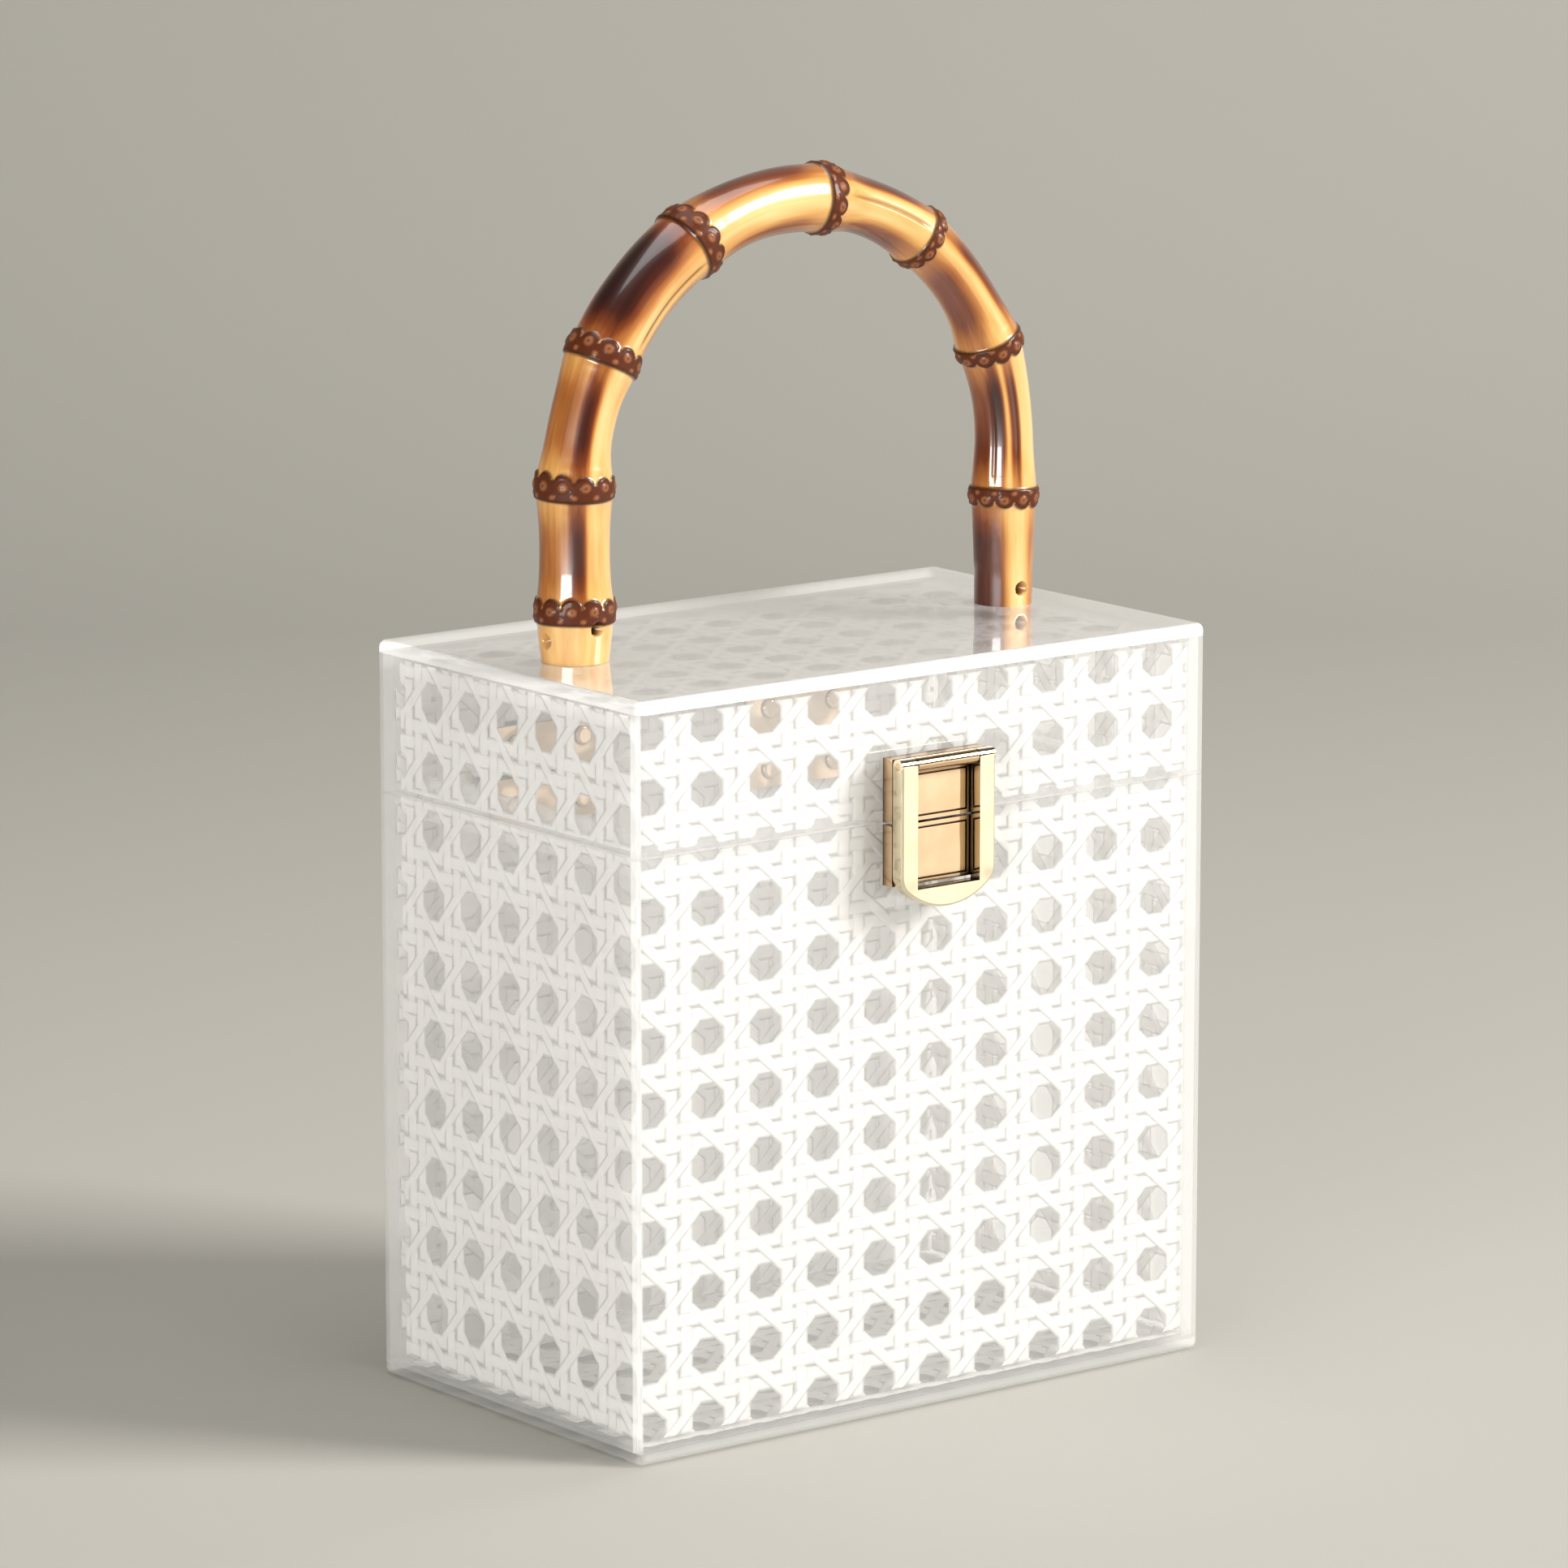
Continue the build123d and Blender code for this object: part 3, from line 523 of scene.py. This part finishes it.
def carve_knot(skin, along, angle, i):
    """A raised band, straight below and arched above, with a pitted bud in each arch."""
    shrink = (KNOT_RADII[i] / KNOT_RADII[0]) ** 2
    from_knot = along - KNOTS[i] * MM
    phase = (angle / math.tau * BUDS + 0.37 * i) % 1.0 * 2 - 1
    arch = np.sqrt(np.clip(1 - phase ** 2, 0, 1))
    sway = KNOT_SWAY * np.sin(angle * 2 + i * 1.7)
    top = KNOT_ABOVE * shrink * (0.35 + 0.65 * arch) + sway
    bottom = -KNOT_BELOW * shrink + 0.5 * sway
    edge = np.minimum(top - from_knot, from_knot - bottom)
    here = smooth(-0.25 * MM, 0.35 * MM, edge)
    rim = np.exp(-((edge - 0.15 * MM) / (0.32 * MM)) ** 2)
    step = KNOT_RADII[i] * math.tau / BUDS / 2 * MM
    away = np.hypot(phase * step, (from_knot - 0.9 * MM * shrink) * 1.15)
    dome = np.clip(1 - (away / BUD_SIZE) ** 2, 0, 1)
    pit = np.exp(-(away / PIT_SIZE) ** 2)
    low_away = np.hypot((np.abs(phase) - 1) * step, (from_knot + 1.3 * MM * shrink) * 1.3)
    low_dome = np.clip(1 - (low_away / LOW_BUD_SIZE) ** 2, 0, 1)
    skin["radius"] += here * (0.55 + 0.42 * dome + 0.25 * low_dome - 0.35 * pit) * MM
    skin["knot"] = np.maximum(skin["knot"], here)
    skin["bud"] = np.maximum(
        skin["bud"], here * np.clip(0.95 * dome + 0.75 * low_dome - 1.1 * pit - 0.5 * rim, 0, 1))
    skin["line"] = np.maximum(skin["line"], 0.85 * rim * smooth(-0.9 * MM, -0.2 * MM, edge))


def cut_groove(skin, along, angle, culm, first, side, depth):
    """One of the long grooves that a bent culm has, from one knot to the next, with a ridge beside it."""
    start, end = KNOTS[first] * MM, KNOTS[first + 1] * MM
    inside = smooth(start + 2 * MM, start + 9 * MM, along) * smooth(-end + 1 * MM, -end + 6 * MM, -along)
    across = turn_from(angle, side) * culm
    cut = np.exp(-(across / GROOVE_WIDTH) ** 2) * inside * depth
    ridge = np.exp(-((across - 1.2 * MM) / (0.8 * MM)) ** 2) * inside * depth
    skin["radius"] += (0.18 * ridge - 0.3 * cut) * MM
    skin["line"] = np.maximum(skin["line"], 0.8 * cut)


def drill_foot(skin, along, angle, culm, height, side):
    """A cross hole in a foot, far enough in to look dark, and painted dark brown by the line mark as painted
    shade.
    """
    away = np.hypot(along - height, turn_from(angle, side) * culm)
    drilled = smooth(-HOLE_RADIUS - 0.15 * MM, -HOLE_RADIUS + 0.25 * MM, -away)
    skin["radius"] -= HOLE_DEPTH * drilled
    # Painted shade: the hole's walls and floor take the dark line colour.
    skin["line"] = np.maximum(skin["line"], drilled)


def scorch(skin, along, angle):
    """Where the flame browned it: stripes along each length, palest close to the knots."""
    bounds = [-12 * MM] + [knot * MM for knot in KNOTS] + [LENGTH + 12 * MM]
    for start, end, stripes in zip(bounds, bounds[1:], BURNS):
        from_end = np.minimum(along - start, end - along)
        lengthwise = smooth(0.5 * MM, 2.5 * MM, from_end) \
            * (0.55 + 0.45 * smooth(2.5 * MM, 12 * MM, from_end))
        for side, reach, dark in stripes:
            stripe = np.exp(-np.abs(turn_from(angle, side) / math.radians(reach * 1.1)) ** 4)
            skin["burn"] = np.maximum(skin["burn"], UNBURNT + (dark - UNBURNT) * stripe * lengthwise)


def bamboo_handle(finish):
    """The whole handle as one closed skin round its centre line, with what its finish needs at each point."""
    along = bamboo_stations()[:, None]
    angle = np.linspace(0, math.tau, AROUND, endpoint=False)[None, :]
    culm = culm_radius(along)
    bare = np.zeros((len(along), AROUND))
    skin = {"radius": culm + bare, "burn": bare + UNBURNT, "knot": bare, "bud": bare, "line": bare}
    for i in range(len(KNOTS)):
        carve_knot(skin, along, angle, i)
    for first, side, depth in ((2, 112, 1.0), (4, 78, 0.8), (6, 100, 0.7), (6, 148, 0.8)):
        cut_groove(skin, along, angle, culm, first, side, depth)
    for height, side in ((5.6 * MM, 0), (8.7 * MM, 90), (LENGTH - 4.2 * MM, 90)):
        drill_foot(skin, along, angle, culm, height, side)
    scorch(skin, along, angle)

    radius = skin.pop("radius")
    centre, outward = on_path(along[:, 0])
    ring = outward[:, None, :] * np.cos(angle)[..., None] - np.array(Y) * np.sin(angle)[..., None]
    points = centre[:, None, :] + ring * radius[..., None]
    points[..., 2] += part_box("bamboo_handle")[0][2]
    straight = np.stack([radius * np.cos(angle), radius * np.sin(angle), along + bare], axis=-1)

    corner = np.arange(bare.size).reshape(bare.shape)
    beside = np.roll(corner, -1, axis=1)
    faces = np.stack([corner[:-1], beside[:-1], beside[1:], corner[1:]], axis=-1).reshape(-1, 4).tolist()
    faces += [corner[0, ::-1].tolist(), corner[-1].tolist()]
    mesh = bpy.data.meshes.new("bamboo")
    mesh.from_pydata(points.reshape(-1, 3).tolist(), [], faces)
    mesh.attributes.new("culm", "FLOAT_VECTOR", "POINT").data.foreach_set(
        "vector", straight.astype(np.float32).ravel())
    for name, values in skin.items():
        mesh.attributes.new(name, "FLOAT", "POINT").data.foreach_set(
            "value", values.astype(np.float32).ravel())
    work = bmesh.new()
    work.from_mesh(mesh)
    face_outward(work)
    work.to_mesh(mesh)
    work.free()
    return piece("bent_bamboo_handle", mesh, "lid", "bamboo", finish, "bamboo_handle")


# ---- the carried-over hard parts ----

def finish_hard_parts():
    """Puts each hard part's real finish on it, by its slot; a panel's also by the way that it faces."""
    metals = {"gold_plate": plated_gold("gold plate", "#F2D8B6", "#E4BD92"), "screw_steel": plated_steel()}
    frame_gold = plated_gold("pale gold plate", "#FAF0D6", "#F4E3BE")
    # The way that each panel is thin, how milky its sawn edges are, which is partly their frosting and partly
    # painted light that is strongest on the top sheet, and how hazy it is seen through.
    front, side = clear_acrylic(Y, 0.22, 0.18), clear_acrylic(X, 0.15, 0.22)
    panels = {"front": front, "back": front, "left": side, "right": side,
              "top": clear_acrylic(Z, 0.85, 0.3), "bottom": clear_acrylic(Z, 0.25, 0.1)}
    for name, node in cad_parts.items():
        for slot in node.material_slots:
            kind = slot.material.name.split(".")[0]
            if name == "clasp_frame":
                slot.material = frame_gold
            elif kind in metals:
                slot.material = metals[kind]
            elif kind == "clear_acrylic":
                slot.material = [panels[word] for word in name.split("_") if word in panels][0]


finish_hard_parts()
line_with_cane(white_cane())
bamboo_handle(lacquered_bamboo())


# ---- camera, paper sweep and lights ----

def camera():
    """A long lens 1.9 m away, off the bag's left front corner and a little above it."""
    turn, lift = math.radians(-37.74), math.radians(11.33)
    sideways, above, away = -2.26 * MM, 139.95 * MM, 1.9
    right = Vector((math.cos(turn), math.sin(turn), 0))
    back = Vector((math.sin(turn) * math.cos(lift), -math.cos(turn) * math.cos(lift), math.sin(lift)))
    up = back.cross(right)
    data = bpy.data.cameras.new("camera")
    data.sensor_width, data.lens = 36, 179.6
    data.clip_start, data.clip_end = 0.05, 20
    thing = bpy.data.objects.new("camera", data)
    thing.matrix_world = Matrix.Translation(right * sideways + up * above + back * away) \
        @ Matrix((right, up, back)).transposed().to_4x4()
    bpy.context.scene.collection.objects.link(thing)
    bpy.context.scene.camera = thing
    return right, back


def paper_sweep(right, back):
    """A floor that curves up into a wall far behind the bag."""
    near, far, bend, tall, half_width = -3.0, 1.9, 0.9, 3.3, 4.0
    just_under_the_bag = 0.2 * MM
    steps = 24
    away = Vector((-back.x, -back.y, 0)).normalized()
    line = [(near, 0.0), (far - bend, 0.0)]
    for i in range(1, steps + 1):
        turn = i / steps * math.pi / 2
        line.append((far - bend + bend * math.sin(turn), bend - bend * math.cos(turn)))
    line.append((far, tall))
    points, faces = [], []
    for reach, height in line:
        for side in (-half_width, half_width):
            p = away * reach + right * side
            points.append((p.x, p.y, height - just_under_the_bag))
    for i in range(len(line) - 1):
        faces.append((2 * i, 2 * i + 1, 2 * i + 3, 2 * i + 2))
    mesh = bpy.data.meshes.new("paper")
    mesh.from_pydata(points, [], faces)
    for face in mesh.polygons:
        face.use_smooth = True
    mesh.materials.append(studio_paper())
    paper = bpy.data.objects.new("paper_sweep", mesh)
    bpy.context.scene.collection.objects.link(paper)


def softbox(name, place, aim, size, watts, tint):
    """A flat soft light of a size in metres, facing what it is aimed at."""
    data = bpy.data.lights.new(name, "AREA")
    data.shape, data.size, data.size_y = "RECTANGLE", size[0], size[1]
    data.energy, data.color = watts, colour(tint)[:3]
    thing = bpy.data.objects.new(name, data)
    thing.location = place
    thing.rotation_mode = "QUATERNION"
    thing.rotation_quaternion = (Vector(aim) - Vector(place)).to_track_quat("-Z", "Y")
    bpy.context.scene.collection.objects.link(thing)


def studio():
    """A high key from the right, a low fill from the left, a soft one overhead, and a small card
    beside the bag for the clasp to reflect."""
    right, back = camera()
    paper_sweep(right, back)
    softbox("key", (1.8, -1.95, 1.55), (0, 0, 0.10), (1.0, 1.1), 144, "#FFFDFA")
    softbox("low_fill", (-1.8, -0.9, 0.24), (0, 0, 0.14), (1.2, 0.42), 38, "#FFFDFA")
    softbox("overhead", (-0.05, -0.05, 1.3), (0, 0, 0.0), (0.9, 0.9), 9, "#FFFDFC")
    softbox("clasp_card", (0.30, -0.46, 0.065), (0, 0, 0.13), (0.26, 0.12), 0.03, "#FFFEFC")
    world = bpy.data.worlds.new("room")
    world.use_nodes = True
    world.node_tree.nodes.clear()
    add(world.node_tree, "ShaderNodeOutputWorld",
        {"Surface": add(world.node_tree, "ShaderNodeBackground",
                        {"Color": colour("#E8E6E2"), "Strength": 0.13})})
    bpy.context.scene.world = world
    bpy.context.scene.view_settings.view_transform = "Standard"


studio()
